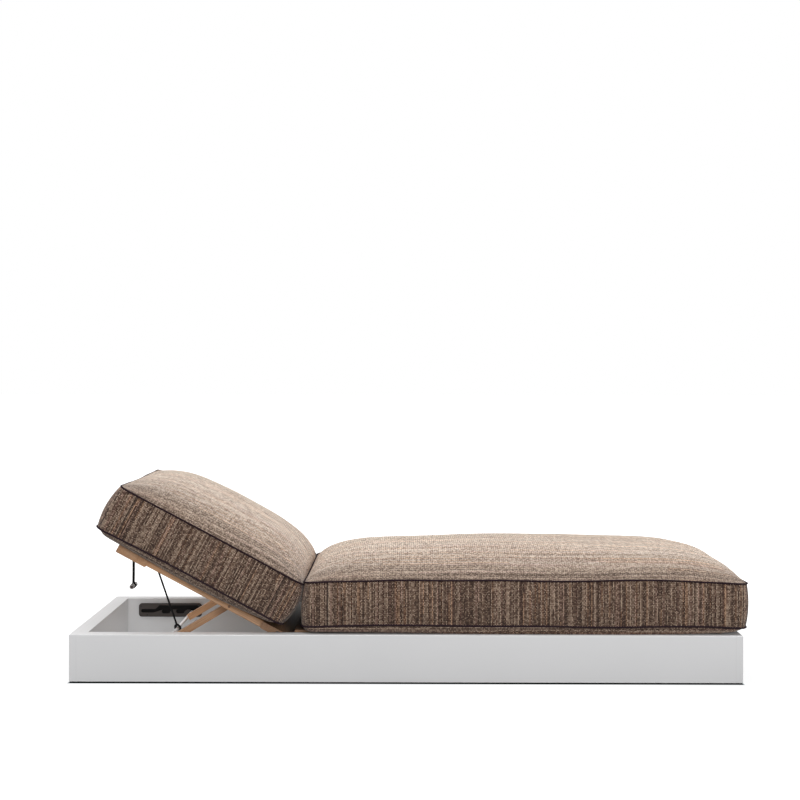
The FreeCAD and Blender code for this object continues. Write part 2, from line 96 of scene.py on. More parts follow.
def smooth(piece, degrees=180.0):
    """Smooth shading, with edges sharper than the angle left sharp."""
    bpy.context.view_layer.objects.active = piece
    piece.select_set(True)
    bpy.ops.object.shade_smooth_by_angle(angle=math.radians(degrees))
    piece.select_set(False)


def apply_modifier(piece, modifier):
    bpy.context.view_layer.objects.active = piece
    bpy.ops.object.modifier_apply(modifier=modifier.name)


def dress(piece, material):
    piece.data.materials.clear()
    piece.data.materials.append(material)


def tube(name, points, radius, closed=False, sides=8, around=3):
    """A round cord along a smooth line through the points, as a mesh."""
    curve = bpy.data.curves.new(name, "CURVE")
    curve.dimensions = "3D"
    curve.bevel_depth = radius
    curve.bevel_resolution = max(1, sides // 4)
    curve.use_fill_caps = True
    curve.resolution_u = around
    line = curve.splines.new("NURBS")
    line.points.add(len(points) - 1)
    for point, place in zip(line.points, points):
        point.co = (*place, 1.0)
    line.order_u = 3
    line.use_cyclic_u = closed
    line.use_endpoint_u = not closed
    source = bpy.data.objects.new(name + "_line", curve)
    bpy.context.scene.collection.objects.link(source)
    bpy.context.view_layer.update()
    settled = source.evaluated_get(bpy.context.evaluated_depsgraph_get())
    mesh = bpy.data.meshes.new_from_object(settled)
    bpy.data.objects.remove(source)
    mesh.name = name
    made = bpy.data.objects.new(name, mesh)
    bpy.context.scene.collection.objects.link(made)
    smooth(made, 60)
    return made


# Node helpers for the materials

def material_base(name):
    material = bpy.data.materials.new(name)
    material.use_nodes = True
    return material, material.node_tree, material.node_tree.nodes["Principled BSDF"]


def feed(tree, node, inputs):
    """Sets a node's inputs, each to a value or to another node's output."""
    for key, value in inputs.items():
        if isinstance(value, bpy.types.NodeSocket):
            tree.links.new(value, node.inputs[key])
        else:
            node.inputs[key].default_value = value


def put(tree, kind, inputs=None, **settings):
    node = tree.nodes.new(kind)
    for key, value in settings.items():
        setattr(node, key, value)
    feed(tree, node, inputs or {})
    return node


def math_node(tree, operation, first, second=0.0):
    return put(tree, "ShaderNodeMath", {0: first, 1: second}, operation=operation).outputs[0]


def half_wave(tree, place):
    """A round back over each whole step of the place."""
    turn = math_node(tree, "MULTIPLY", math_node(tree, "FRACT", place), math.pi)
    return math_node(tree, "SINE", turn)


def map_range(tree, value, span=(0.0, 1.0), to=(0.0, 1.0), **settings):
    """The value's place within a span, as a value between two others."""
    inputs = {"Value": value, "From Min": span[0], "From Max": span[1], "To Min": to[0], "To Max": to[1]}
    return put(tree, "ShaderNodeMapRange", inputs, **settings).outputs[0]


def axes(tree, vector):
    return put(tree, "ShaderNodeSeparateXYZ", {"Vector": vector}).outputs


def ramp(tree, factor, stops, mode="LINEAR"):
    """A colour ramp through (place, colour) stops."""
    node = put(tree, "ShaderNodeValToRGB", {"Fac": factor})
    node.color_ramp.interpolation = mode
    elements = node.color_ramp.elements
    while len(elements) < len(stops):
        elements.new(0.5)
    for element, (place, colour) in zip(elements, stops):
        element.position = place
        element.color = (*colour, 1.0)
    return node.outputs[0]


def mix_colour(tree, factor, first, second, blend="MIX"):
    node = put(tree, "ShaderNodeMix", data_type="RGBA", blend_type=blend)
    inputs = {0: factor}
    for index, colour in ((6, first), (7, second)):
        inputs[index] = (*colour, 1.0) if isinstance(colour, tuple) else colour
    feed(tree, node, inputs)
    return node.outputs[2]


def darken(tree, colour, shade):
    """The colour times a grey of the given shade."""
    grey = put(tree, "ShaderNodeCombineColor", {0: shade, 1: shade, 2: shade}).outputs[0]
    return mix_colour(tree, 1.0, colour, grey, "MULTIPLY")


def mapped(tree, vector, scale, location=(0, 0, 0), rotation=(0, 0, 0)):
    inputs = {"Vector": vector, "Scale": scale, "Location": location, "Rotation": rotation}
    return put(tree, "ShaderNodeMapping", inputs).outputs[0]


def stretched(tree, scale=(1, 1, 1), location=(0, 0, 0), rotation=(0, 0, 0)):
    """Object coordinates with their own scale along each axis."""
    return mapped(tree, put(tree, "ShaderNodeTexCoord").outputs["Object"], scale, location, rotation)


def noise(tree, vector, detail=2.0, roughness=0.5):
    inputs = {"Vector": vector, "Scale": 1.0, "Detail": detail, "Roughness": roughness}
    return put(tree, "ShaderNodeTexNoise", inputs).outputs["Fac"]


def white_noise(tree, seed):
    """A random value and colour for each whole number, or for each pair of them."""
    if isinstance(seed, tuple):
        cell = put(tree, "ShaderNodeCombineXYZ", {0: seed[0], 1: seed[1]}).outputs[0]
        return put(tree, "ShaderNodeTexWhiteNoise", {"Vector": cell}, noise_dimensions="2D").outputs
    return put(tree, "ShaderNodeTexWhiteNoise", {"W": seed}, noise_dimensions="1D").outputs


def bump(tree, shader, height, strength, distance):
    node = put(tree, "ShaderNodeBump", {"Height": height, "Strength": strength, "Distance": distance})
    tree.links.new(node.outputs[0], shader.inputs["Normal"])


# Materials. The shift measures X from the plinth's middle. The backrest's span runs along X too.

FROM_PLINTH_MIDDLE = (0.009, 0, 0)
BOARD_JOINT = 1.028
BOARD_PITCH = 0.1164
BACKREST_SPAN = (-0.84, -0.45)
PLATE_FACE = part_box("notch_plate_back")[0].y
BRAID_TURNS = 2600.0
YARN_PITCH = 0.0040
FLOAT_LENGTH = 0.0044
FLOAT_STEP_SHARE = 0.5
RIB_LENGTH = 0.0066
YARN_LENGTH = 0.40
STREAK_LENGTH = 0.60
WEAVE_TONE = 0.46


def satin_lacquer():
    """Pale grey lacquer with a hairline at the joints of the end boards."""
    material, tree, shader = material_base("satin_lacquer")
    cloud = noise(tree, stretched(tree, (3, 3, 3)), 3.0)
    colour = ramp(tree, cloud, [(0.3, (0.735, 0.735, 0.742)), (0.7, (0.755, 0.755, 0.762))])
    from_middle = math_node(tree, "ABSOLUTE", axes(tree, stretched(tree, location=FROM_PLINTH_MIDDLE))[0])
    gap = math_node(tree, "ABSOLUTE", math_node(tree, "SUBTRACT", from_middle, BOARD_JOINT))
    joint = map_range(tree, gap, (0.0003, 0.0013), (0.95, 1.0))
    feed(tree, shader, {"Base Color": darken(tree, colour, joint),
                        "Roughness": map_range(tree, cloud, to=(0.42, 0.52))})
    peel = noise(tree, stretched(tree, (420, 420, 420)), 1.0)
    height = math_node(tree, "ADD", peel, math_node(tree, "MULTIPLY", joint, 4.0))
    bump(tree, shader, height, 0.08, 0.0002)
    return material


def matt_plastic(name, colour, roughness, grain=900.0):
    material, tree, shader = material_base(name)
    fine = noise(tree, stretched(tree, (grain, grain, grain)))
    light = tuple(c * 1.25 for c in colour)
    feed(tree, shader, {"Base Color": ramp(tree, fine, [(0.35, colour), (0.7, light)]),
                        "Roughness": roughness})
    bump(tree, shader, fine, 0.25, 0.0002)
    return material


def grooved_moulding():
    """Dark grey-brown moulding, with painted shade in its groove, sunk past the plates' faces."""
    material, tree, shader = material_base("dark_moulding")
    fine = noise(tree, stretched(tree, (700, 700, 700)))
    face = ramp(tree, fine, [(0.35, (0.070, 0.061, 0.057)), (0.7, (0.086, 0.075, 0.070))])
    from_middle = math_node(tree, "ABSOLUTE", axes(tree, stretched(tree))[1])
    # Painted shade: faces sunk deeper than the plate's face turn near black, as the groove's shadow.
    painted_groove_shade = map_range(tree, from_middle, (PLATE_FACE + 0.0002, PLATE_FACE + 0.0012))
    feed(tree, shader, {"Base Color": mix_colour(tree, painted_groove_shade, face, (0.006, 0.005, 0.005)),
                        "Roughness": 0.6, "Specular IOR Level": 0.15})
    bump(tree, shader, fine, 0.25, 0.0002)
    return material


def steel(name, colour, roughness, brushed_along=None):
    material, tree, shader = material_base(name)
    scale = [300.0, 300.0, 300.0]
    if brushed_along is not None:
        scale[brushed_along] = 6.0
    lines = noise(tree, stretched(tree, scale), 3.0)
    dark = tuple(c * 0.86 for c in colour)
    feed(tree, shader, {"Base Color": ramp(tree, lines, [(0.3, dark), (0.7, colour)]),
                        "Metallic": 1.0, "Roughness": roughness})
    bump(tree, shader, lines, 0.12, 0.0001)
    return material


def teak(name, along, turned=0.0, head_tone=1.0, hinge_tone=1.0):
    """Oiled teak with its grain along one axis of a piece, which may lie at a slope, made lighter or darker
    along the backrest's span as painted light and shade.
    """
    material, tree, shader = material_base(name)
    place = stretched(tree, rotation=(0.0, -turned, 0.0))
    wide = [34.0, 34.0, 34.0]
    wide[along] = 1.6
    fine = [420.0, 420.0, 420.0]
    fine[along] = 14.0
    bands = noise(tree, mapped(tree, place, wide), 4.0, 0.62)
    fibres = noise(tree, mapped(tree, place, fine), 3.0, 0.6)
    warm = ramp(tree, bands, [(0.22, (0.43, 0.21, 0.105)), (0.5, (0.58, 0.32, 0.165)),
                              (0.78, (0.70, 0.43, 0.25))])
    pores = ramp(tree, fibres, [(0.36, (0.62, 0.55, 0.5)), (0.52, (1, 1, 1))])
    colour = mix_colour(tree, 0.75, warm, pores, "MULTIPLY")
    across = axes(tree, place)[1 if along == 0 else 0]
    board = math_node(tree, "FLOOR", math_node(tree, "DIVIDE", across, BOARD_PITCH))
    board_tone = map_range(tree, white_noise(tree, board)["Value"], to=(0.86, 1.12))
    # Painted light and shade: the tone runs from head_tone to hinge_tone along the backrest's span,
    # standing in for where light and shadow fall.
    tone_and_painted_light = map_range(tree, axes(tree, stretched(tree))[0], BACKREST_SPAN, (head_tone, hinge_tone))
    colour = darken(tree, colour, math_node(tree, "MULTIPLY", board_tone, tone_and_painted_light))
    feed(tree, shader, {"Base Color": colour, "Roughness": map_range(tree, fibres, to=(0.62, 0.45))})
    bump(tree, shader, fibres, 0.3, 0.0004)
    return material


def melange_cloth():
    """A thick melange weave of many brown and beige yarns, set out on the cover's own UV map, in a shaded
    copy on the band and a lit copy on the tops as painted light.
    """
    material, tree, shader = material_base("melange_cloth")
    place = put(tree, "ShaderNodeUVMap", uv_map="weave").outputs[0]
    # The region value is each face's share of the lit copy. This is painted light, lighter toward the
    # crown.
    region = put(tree, "ShaderNodeAttribute", attribute_name="is_top").outputs["Fac"]
    run, across, _ = axes(tree, place)

    # Yarns side by side, each in floats that step along from yarn to yarn
    yarn_place = math_node(tree, "DIVIDE", across, YARN_PITCH)
    yarn = math_node(tree, "FLOOR", yarn_place)
    float_place = math_node(tree, "ADD", math_node(tree, "DIVIDE", run, FLOAT_LENGTH),
                            math_node(tree, "MULTIPLY", yarn, FLOAT_STEP_SHARE))
    float_tone = white_noise(tree, (yarn, math_node(tree, "FLOOR", float_place)))["Value"]
    length_place = math_node(tree, "ADD", math_node(tree, "DIVIDE", run, YARN_LENGTH),
                             white_noise(tree, yarn)["Value"])
    dye = white_noise(tree, (yarn, math_node(tree, "FLOOR", length_place)))
    relief = math_node(tree, "MULTIPLY", half_wave(tree, yarn_place), half_wave(tree, float_place))
    rib = math_node(tree, "SINE", math_node(tree, "MULTIPLY", run, 2 * math.pi / RIB_LENGTH))

    def streak(width, detail):
        """Streaks of several yarns that run far along the cloth."""
        return noise(tree, mapped(tree, place, (1 / STREAK_LENGTH, 1 / width, 1)), detail)

    # Each part of the tone, its share in it, and the part's own middle
    tone = WEAVE_TONE
    for part, share, middle in ((float_tone, map_range(tree, region, to=(0.41, 0.66)), 0.5),
                                (dye["Value"], 0.37, 0.5),
                                (streak(0.007, 1.0), 0.23, 0.5),
                                (streak(0.030, 2.0), 0.13, 0.5),
                                (relief, 0.75, 0.4),
                                (rib, map_range(tree, region, to=(0.03, 0.13)), 0.0)):
        lean = math_node(tree, "SUBTRACT", part, middle)
        tone = math_node(tree, "ADD", tone, math_node(tree, "MULTIPLY", lean, share))

    # Painted light: the band and the top are one cloth, with the band in a shaded copy and the top in a lit
    # copy.
    band = ramp(tree, tone, [(0.05, (0.010, 0.005, 0.004)), (0.26, (0.040, 0.021, 0.015)),
                             (0.46, (0.096, 0.055, 0.038)), (0.62, (0.185, 0.115, 0.078)),
                             (0.78, (0.35, 0.235, 0.165)), (0.95, (0.62, 0.47, 0.35))])
    top = ramp(tree, tone, [(0.05, (0.10, 0.056, 0.038)), (0.26, (0.33, 0.20, 0.128)),
                            (0.46, (0.74, 0.54, 0.395)), (0.62, (0.92, 0.74, 0.585)),
                            (0.80, (0.98, 0.87, 0.74)), (0.96, (1.0, 0.95, 0.86))])
    green = put(tree, "ShaderNodeSeparateColor", {"Color": dye["Color"]}).outputs[1]
    tint = ramp(tree, green, [(0.0, (0.98, 1.0, 1.02)), (0.55, (1.0, 1.0, 1.0)), (0.80, (1.10, 0.97, 0.87)),
                              (0.91, (1.01, 0.94, 0.99))], "CONSTANT")
    colour = mix_colour(tree, 1.0, mix_colour(tree, region, band, top), tint, "MULTIPLY")

    # Plain joints across the band
    from_joint = axes(tree, put(tree, "ShaderNodeUVMap", uv_map="joints").outputs[0])[0]
    gap = math_node(tree, "ABSOLUTE", from_joint)
    colour = darken(tree, colour, map_range(tree, gap, (0.0008, 0.0026), (0.30, 1.0)))
    feed(tree, shader, {"Base Color": colour, "Roughness": 0.92, "Sheen Weight": 0.2,
                        "Sheen Roughness": 0.5, "Specular IOR Level": 0.2})
    height = math_node(tree, "ADD", relief, math_node(tree, "MULTIPLY", float_tone, 0.5))
    dip = map_range(tree, gap, (0.0, 0.006), (-3.0, 0.0), interpolation_type="SMOOTHSTEP")
    bump(tree, shader, math_node(tree, "ADD", height, dip), 0.8, 0.0011)
    return material


def braid():
    """A black braided sheath whose plaits cross on the cord."""
    material, tree, shader = material_base("black_braid")
    x, y, z = axes(tree, stretched(tree))
    along = math_node(tree, "ADD", z, math_node(tree, "MULTIPLY", x, 0.5))
    waves = []
    for lean in ("ADD", "SUBTRACT"):
        turn = math_node(tree, "MULTIPLY", math_node(tree, lean, along, y), BRAID_TURNS)
        waves.append(math_node(tree, "SINE", turn))
    plait = math_node(tree, "MAXIMUM", *waves)
    colour = ramp(tree, plait, [(0.2, (0.004, 0.004, 0.005)), (0.9, (0.016, 0.016, 0.017))])
    feed(tree, shader, {"Base Color": colour, "Roughness": 0.75, "Specular IOR Level": 0.15})
    bump(tree, shader, plait, 0.5, 0.0004)
    return material


def cotton(name, colour, ribs=700.0):
    """Dark tape, piping or webbing with a fine rib."""
    material, tree, shader = material_base(name)
    fine = noise(tree, stretched(tree, (ribs, ribs, ribs)), 3.0)
    light = tuple(c * 1.8 for c in colour)
    feed(tree, shader, {"Base Color": ramp(tree, fine, [(0.35, colour), (0.75, light)]),
                        "Roughness": 0.85, "Specular IOR Level": 0.12})
    bump(tree, shader, fine, 0.5, 0.0004)
    return material


LACQUER = satin_lacquer()
STRIP = matt_plastic("matt_black_strip", (0.012, 0.012, 0.013), 0.6)
MOULDING = grooved_moulding()
BLACK_PLASTIC = matt_plastic("black_plastic", (0.02, 0.018, 0.017), 0.45)
BROWN_PLASTIC = matt_plastic("brown_plastic", (0.045, 0.030, 0.026), 0.5)
BRIGHT_STEEL = steel("polished_steel", (0.86, 0.84, 0.82), 0.30, brushed_along=1)
ROD_STEEL = steel("brushed_steel_rod", (0.95, 0.94, 0.94), 0.46, brushed_along=1)
DULL_STEEL = steel("zinc_steel", (0.52, 0.53, 0.54), 0.38)
BEECH = matt_plastic("raw_beech", (0.5, 0.36, 0.2), 0.7, 200.0)
SEAT_SLAT = teak("teak_lengthwise", 0)
SEAT_PLANK = teak("teak_crosswise", 1)
# Painted shade: the seat's head plank, the hinge plank, the near arm and the backrest slats toward the
# hinge are darker teak where shadow falls. The far arm and the slats toward the head are lighter teak, as
# painted light.
SEAT_HEAD_PLANK = teak("teak_seat_head_plank", 1, 0.0, 0.45, 0.45)
BACK_SLAT = teak("teak_lengthwise_raised", 0, RAISED, 1.40, 0.80)
HEAD_PLANK = teak("teak_head_plank", 1, RAISED, 0.78, 0.78)
HINGE_PLANK = teak("teak_hinge_plank", 1, RAISED, 0.45, 0.45)
ARM_LOW, ARM_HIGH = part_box("prop_arm_front")
ARM_SLOPE = -math.atan2(ARM_HIGH.z - ARM_LOW.z, ARM_HIGH.x - ARM_LOW.x)
NEAR_ARM = teak("teak_front_arm", 0, ARM_SLOPE, 0.82, 0.82)
FAR_ARM = teak("teak_back_arm", 0, ARM_SLOPE, 1.50, 1.50)
PLUG_TEAK = matt_plastic("teak_end_grain", (0.16, 0.085, 0.045), 0.6, 900.0)
CLOTH = melange_cloth()
PIPING = cotton("aubergine_piping", (0.017, 0.009, 0.012))
CORD_BLACK = cotton("black_cord", (0.008, 0.008, 0.009))
BRAID = braid()
WEBBING = cotton("black_webbing", (0.012, 0.012, 0.013), 1400.0)

NODE_MATERIALS = {
    LACQUER: ["plinth_side_front", "plinth_side_back", "plinth_head", "plinth_foot"],
    STRIP: ["foot_strip_front", "foot_strip_back", "foot_strip_head", "foot_strip_foot"],
    MOULDING: ["notch_plate_front", "notch_plate_back"],
    BLACK_PLASTIC: ["pivot_bushes", "bar_caps"],
    BRIGHT_STEEL: ["pull_bar", "cord_eyelet"],
    ROD_STEEL: ["prop_rod"],
    DULL_STEEL: ["pivot_bracket_front", "pivot_bracket_back", "pivot_pins", "prop_axles"],
    BEECH: ["corner_tenons"],
    SEAT_SLAT: ["seat_slats_head", "seat_slats_foot", "seat_ledger_front", "seat_ledger_back"],
    SEAT_PLANK: ["seat_plank_middle", "seat_plank_foot", "cross_brace"],
    SEAT_HEAD_PLANK: ["seat_plank_head"],
    BACK_SLAT: ["back_slats"],
    HEAD_PLANK: ["head_plank"],
    HINGE_PLANK: ["hinge_plank"],
    NEAR_ARM: ["prop_arm_front"],
    FAR_ARM: ["prop_arm_back"],
    CORD_BLACK: ["release_cord", "cord_knot"],
    WEBBING: ["strap_run", "pull_strap"],
    CLOTH: ["seat_cushion", "back_cushion"],
}
for material, names in NODE_MATERIALS.items():
    for name in names:
        mesh = frame["nodes"][name].data
        mesh.materials.clear()
        mesh.materials.append(material)


# Cushions. Each is a boxed cushion laid out flat: rows of quads across its top, down its band and
# skirt and across its bottom. Its two seams carry the piping. Stations are (X, height) pairs. The
# crown is laid out lower by the share that it gains when the cover swells.

QUAD = 0.012
CORNER_RADIUS = 0.038
BAND_ROWS = 12
SKIRT_ROWS = 3
PIPING_RADIUS = 0.0029
PIPING_OUT = 0.0014
SWELL_SHARE = 0.88
SWELL_CAP = 0.016
SIDE_RUN = 0.27
EDGE_RUN = 0.045
END_SAG = 0.006
END_RUN = 0.03
SIDE_POWER = 0.58
HALF_WIDTH = 0.389
FRAME_HALF_WIDTH = 0.343
FRAME_EDGE_RUN = 0.030
# Painted light of the tops: their share of the lit cloth at the seam, and how fast that share rises toward
# the crown.
SEAM_SHARE = 0.17
SHADE_POWER = 2.3
PLAN_MARGIN = 0.03
SIDE_YARNS_APART = 5
END_YARNS_APART = 9
SKIRT_YARNS_APART = 3
FAR_FROM_JOINT = 0.05

SEAT = {
    "name": "seat_cushion_cover", "node": "seat_cushion", "body": "seat_cushion", "seed": 3,
    "ends": (-0.3270, 1.0600), "low_out": (0.009, -0.003), "bulge": (0.006, 0.006, 0.007),
    "skirt_in": (0.012, 0.024, 0.010), "end_lift": 0.001, "side_lift": -0.003, "sunk_seam": 0.0,
    "base": [(-0.34, 0.1590), (0.96, 0.1586), (1.06, 0.1640)],
    "low_seam": [(-0.336, 0.1750), (-0.256, 0.1775), (-0.13, 0.1808), (0.05, 0.1810), (0.25, 0.1790),
                 (0.43, 0.1788), (0.55, 0.1765), (0.98, 0.1768), (1.045, 0.1735)],
    "top_seam": [(-0.327, 0.3125), (-0.25, 0.3170), (-0.13, 0.3195), (-0.05, 0.3222), (0.12, 0.3215),
                 (0.30, 0.3225), (0.43, 0.3198), (0.55, 0.3205), (0.68, 0.3236), (0.80, 0.3232),
                 (0.92, 0.3182), (1.054, 0.3115)],
    "crown": [(-0.327, 0.0), (-0.31, 0.030), (-0.29, 0.044), (-0.27, 0.054), (-0.25, 0.0610),
              (-0.22, 0.0690), (-0.19, 0.0745), (-0.16, 0.0770), (-0.13, 0.0775), (-0.05, 0.0772),
              (0.0, 0.0778), (0.1, 0.083), (0.2, 0.087), (0.3, 0.0882), (0.4, 0.0892), (0.5, 0.088),
              (0.6, 0.0832), (0.7, 0.0785), (0.8, 0.0782), (0.84, 0.0779), (0.88, 0.076), (0.92, 0.0705),
              (0.95, 0.064), (0.98, 0.055), (1.0, 0.050), (1.02, 0.0425), (1.040, 0.032), (1.0600, 0.0)],
    "band_joints": (-0.253,),
}
BACK = {
    "name": "back_cushion_cover", "node": "back_cushion", "body": "backrest", "seed": 11,
    "ends": (-1.0670, -0.4140), "low_out": (0.005, 0.000), "bulge": (0.010, 0.015, 0.007),
    "skirt_in": (0.014, 0.016, 0.010), "end_lift": 0.012, "side_lift": 0.012, "sunk_seam": 0.0034,
    "base": [(-1.08, 0.1590), (-0.53, 0.1590), (-0.47, 0.1645), (-0.40, 0.1715)],
    "low_seam": [(-1.072, 0.1790), (-0.98, 0.1830), (-0.60, 0.1855), (-0.50, 0.1850), (-0.404, 0.1835)],
    "top_seam": [(-1.067, 0.3270), (-0.95, 0.3275), (-0.62, 0.3285), (-0.414, 0.3265)],
    "crown": [(-1.0670, 0.0), (-1.052, 0.018), (-1.03, 0.036), (-1.0, 0.0555), (-0.967, 0.0710),
              (-0.917, 0.0850), (-0.867, 0.089), (-0.817, 0.0915), (-0.767, 0.0930), (-0.717, 0.0920),
              (-0.667, 0.090), (-0.617, 0.0882), (-0.577, 0.087), (-0.537, 0.0845), (-0.497, 0.0765),
              (-0.467, 0.0640), (-0.447, 0.0515), (-0.427, 0.036), (-0.4140, 0.0)],
    "band_joints": (-1.002, -0.478),
}


def through(stations, places):
    """Heights along a smooth line through the stations."""
    xs, heights = np.array(stations, float).T
    slopes = np.gradient(heights, xs)
    places = np.clip(places, xs[0], xs[-1])
    k = np.clip(np.searchsorted(xs, places) - 1, 0, len(xs) - 2)
    step = xs[k + 1] - xs[k]
    t = (places - xs[k]) / step
    bend = (t - 1) * t * step * ((t - 1) * slopes[k] + t * slopes[k + 1])
    ease = t * t * (3 - 2 * t)
    return heights[k] * (1 - ease) + heights[k + 1] * ease + bend


def wave(places, seed, length):
    """A small smooth wander along a line, within one either way."""
    shares = (1.0, 0.6, 0.37, 0.22)
    total = np.zeros_like(places)
    for k, share in enumerate(shares):
        phase = math.sin(seed * 12.9898 + k * 78.233) * 43758.5453
        total += share * np.sin(2 * math.pi * (places / (length * share) + phase % 1))
    return total / 2.2


def rounded_plan(u, v, x0, x1, half_y):
    """A point of a rectangle, u and v from -1 to 1, with the corners drawn in to quarter rounds."""
    middle, half_x = (x0 + x1) / 2, (x1 - x0) / 2
    x, y = np.abs(u) * half_x, np.abs(v) * half_y
    round_x, round_y = half_x - CORNER_RADIUS, half_y - CORNER_RADIUS
    out_x = np.clip((x - round_x) / CORNER_RADIUS, 0, 1)
    out_y = np.clip((y - round_y) / CORNER_RADIUS, 0, 1)
    x = np.where(out_x > 0, round_x + CORNER_RADIUS * out_x * np.sqrt(1 - out_y ** 2 / 2), x)
    y = np.where(out_y > 0, round_y + CORNER_RADIUS * out_y * np.sqrt(1 - out_x ** 2 / 2), y)
    return middle + np.sign(u) * x, np.sign(v) * y


def side_rise(y):
    """How much of its height the crown has at a distance from the middle line."""
    t = np.clip((HALF_WIDTH - np.abs(y)) / SIDE_RUN, 0, 1)
    return (1 - (1 - t) ** 2) ** SIDE_POWER


def crown_height(spec, x, y):
    along = 0.022 * wave(x + 0.7 * y, spec["seed"], 0.9)
    across = 0.018 * wave(y - 0.4 * x, spec["seed"] + 5, 0.7)
    return np.maximum(through(spec["crown"], x), 0) * side_rise(y) * (1 + along + across)


def ring_level(spec, number):
    """A ring of the cushion's side: its ends, half width, and place on the band or the skirt below."""
    head, foot = spec["ends"]
    if number <= BAND_ROWS:
        share = number / BAND_ROWS
        swell = math.sin(math.pi * share) ** 0.8
        x0 = head - spec["bulge"][0] * swell - spec["low_out"][0] * share
        x1 = foot + spec["bulge"][1] * swell + spec["low_out"][1] * share
        return x0, x1, HALF_WIDTH + spec["bulge"][2] * swell, ("band", share)
    share = (number - BAND_ROWS) / SKIRT_ROWS
    draw = share ** 1.5
    x0 = head - spec["low_out"][0] + spec["skirt_in"][0] * draw
    x1 = foot + spec["low_out"][1] - spec["skirt_in"][1] * draw
    return x0, x1, HALF_WIDTH - spec["skirt_in"][2] * draw, ("skirt", share ** 1.2)


def end_sag(spec, x, y):
    """How far the top seam dips across an end, between the corners."""
    head, foot = spec["ends"]
    near_end = np.clip(1 - np.minimum(x - head, foot - x) / END_RUN, 0, 1)
    return END_SAG * near_end * (1 - (y / HALF_WIDTH) ** 2)


def edge_lift(spec, y):
    """How far the underside's edge lies above the frame it rests on, or hangs beside it."""
    beside = np.clip((np.abs(y) - FRAME_HALF_WIDTH) / FRAME_EDGE_RUN, 0, 1)
    return spec["end_lift"] + (spec["side_lift"] - spec["end_lift"]) * beside


def level_height(spec, kind, share, x, y):
    low = through(spec["low_seam"], x)
    if kind == "band":
        return low + (through(spec["top_seam"], x) - end_sag(spec, x, y) - low) * (1 - share)
    return low + (through(spec["base"], x) + edge_lift(spec, y) - low) * share


def build_cushion(spec):
    """The cushion's points, its faces, the region of each face and the rings of points down its side."""
    head, foot = spec["ends"]
    nx, ny = round((foot - head) / QUAD), round(2 * HALF_WIDTH / QUAD)
    border = [(i, 0) for i in range(nx)] + [(nx, j) for j in range(ny)]
    border += [(nx - i, ny) for i in range(nx)] + [(0, ny - j) for j in range(ny)]
    inner = [(i, j) for i in range(1, nx) for j in range(1, ny)]

    def spread(cells):
        cells = np.array(cells, float)
        return 2 * cells[:, 0] / nx - 1, 2 * cells[:, 1] / ny - 1

    points, rings = [], []
    count = 0
    for number in range(BAND_ROWS + SKIRT_ROWS + 1):
        x0, x1, half_y, (kind, share) = ring_level(spec, number)
        x, y = rounded_plan(*spread(border), x0, x1, half_y)
        points.append(np.stack([x, y, level_height(spec, kind, share, x, y)], 1))
        rings.append(list(range(count, count + len(border))))
        count += len(border)
    index = {}
    for side, number in (("top", 0), ("bottom", BAND_ROWS + SKIRT_ROWS)):
        x0, x1, half_y, _ = ring_level(spec, number)
        x, y = rounded_plan(*spread(inner), x0, x1, half_y)
        if side == "top":
            z = through(spec["top_seam"], x) - end_sag(spec, x, y)
            z = z + SWELL_SHARE * crown_height(spec, x, y)
        else:
            from_edge = np.minimum(np.minimum(x - x0, x1 - x), half_y - np.abs(y))
            near_edge = np.clip(1 - from_edge / EDGE_RUN, 0, 1)
            z = through(spec["base"], x) + edge_lift(spec, y) * near_edge ** 2
        points.append(np.stack([x, y, z], 1))
        for k, cell in enumerate(inner):
            index[side, cell] = count + k
        for k, cell in enumerate(border):
            index[side, cell] = rings[number][k]
        count += len(inner)
    faces, regions = [], []
    for i in range(nx):
        for j in range(ny):
            cells = [(i, j), (i + 1, j), (i + 1, j + 1), (i, j + 1)]
            faces.append([index["top", cell] for cell in cells])
            faces.append([index["bottom", cell] for cell in reversed(cells)])
            regions += ["top", "bottom"]
    for number in range(len(rings) - 1):
        upper, lower = rings[number], rings[number + 1]
        for k in range(len(upper)):
            after = (k + 1) % len(upper)
            faces.append([upper[k], lower[k], lower[after], upper[after]])
            regions.append("band" if number < BAND_ROWS else "skirt")
    return np.concatenate(points), faces, regions, rings


def settle(piece, pinned):
    """Lets the cover swell a little under pressure with its seams held, and keeps the result."""
    frames = 20
    group = piece.vertex_groups.new(name="sewn")
    group.add([int(i) for i in pinned], 1.0, "REPLACE")
    start = np.array([v.co for v in piece.data.vertices])
    cloth = piece.modifiers.new("Cloth", "CLOTH")
    cloth.settings.quality = 6
    cloth.settings.mass = 0.3
    cloth.settings.tension_stiffness = 25
    cloth.settings.compression_stiffness = 25
    cloth.settings.shear_stiffness = 8
    cloth.settings.bending_stiffness = 1.5
    cloth.settings.use_pressure = True
    cloth.settings.uniform_pressure_force = 4.0
    cloth.settings.vertex_group_mass = "sewn"
    cloth.settings.effector_weights.gravity = 0.0
    cloth.collision_settings.use_collision = False
    cloth.collision_settings.use_self_collision = False
    cloth.point_cache.frame_start = 1
    cloth.point_cache.frame_end = frames
    scene = bpy.context.scene
    for number in range(1, frames + 1):
        scene.frame_set(number)
    apply_modifier(piece, cloth)
    scene.frame_set(1)
    moved = np.array([v.co for v in piece.data.vertices]) - start
    far = np.linalg.norm(moved, axis=1)
    share = np.where(far > 1e-9, SWELL_CAP * np.tanh(far / SWELL_CAP) / np.maximum(far, 1e-9), 0)
    kept = start + moved * share[:, None]
    piece.data.vertices.foreach_set("co", kept.astype(np.float32).ravel())
    piece.data.update()
    piece.vertex_groups.clear()


def arc_lengths(places, heights):
    """The length of the line through the heights, up to each place."""
    return np.concatenate([[0], np.cumsum(np.hypot(np.diff(places), np.diff(heights)))])


